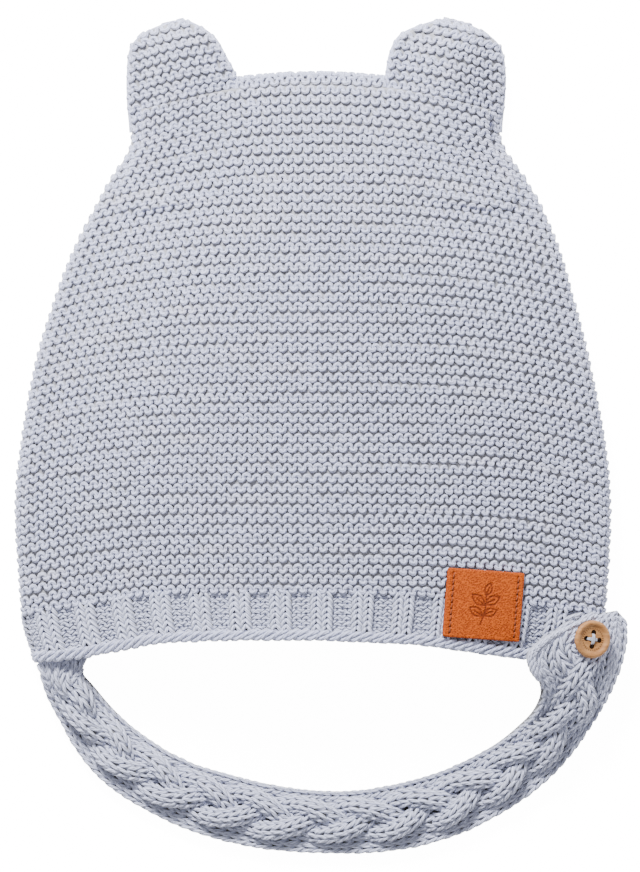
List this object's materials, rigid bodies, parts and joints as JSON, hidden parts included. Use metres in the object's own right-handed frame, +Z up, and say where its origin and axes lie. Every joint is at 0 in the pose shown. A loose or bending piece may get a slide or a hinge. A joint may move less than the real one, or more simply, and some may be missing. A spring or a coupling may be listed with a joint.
{
  "type": "knitted baby hat with ears and chin strap",
  "caption": "Hollow knitted baby hat with rounded ears, ribbed brim, leather label and a plaited chin strap that closes with a wooden button, lying on its back.",
  "frame": {"origin": "on the table under the middle of the flat back, 90 mm up from the rim", "axes": "+X across the hat, +Y from the chin strap to the ears, +Z up from the table through the front"},
  "size_m": [0.202, 0.2752, 0.0399],
  "materials": {
    "crown_yarn": "soft garter-stitch knit, heathered cotton yarn",
    "rib_yarn": "soft ribbed knit, heathered cotton yarn",
    "edge_yarn": "bound-off knitted edge",
    "strap_yarn": "soft plaited cable knit",
    "button_wood": "satin turned wood",
    "sewing_thread": "twisted thread",
    "label_leather": "matt, fine pebbled grain"
  },
  "bodies": {
    "root": {"crown": "crown_yarn", "rib_band": "rib_yarn", "rim_edge": "edge_yarn", "chin_strap": "strap_yarn", "button": "button_wood", "button_thread": "sewing_thread", "label": "label_leather"}
  },
  "joints": []
}
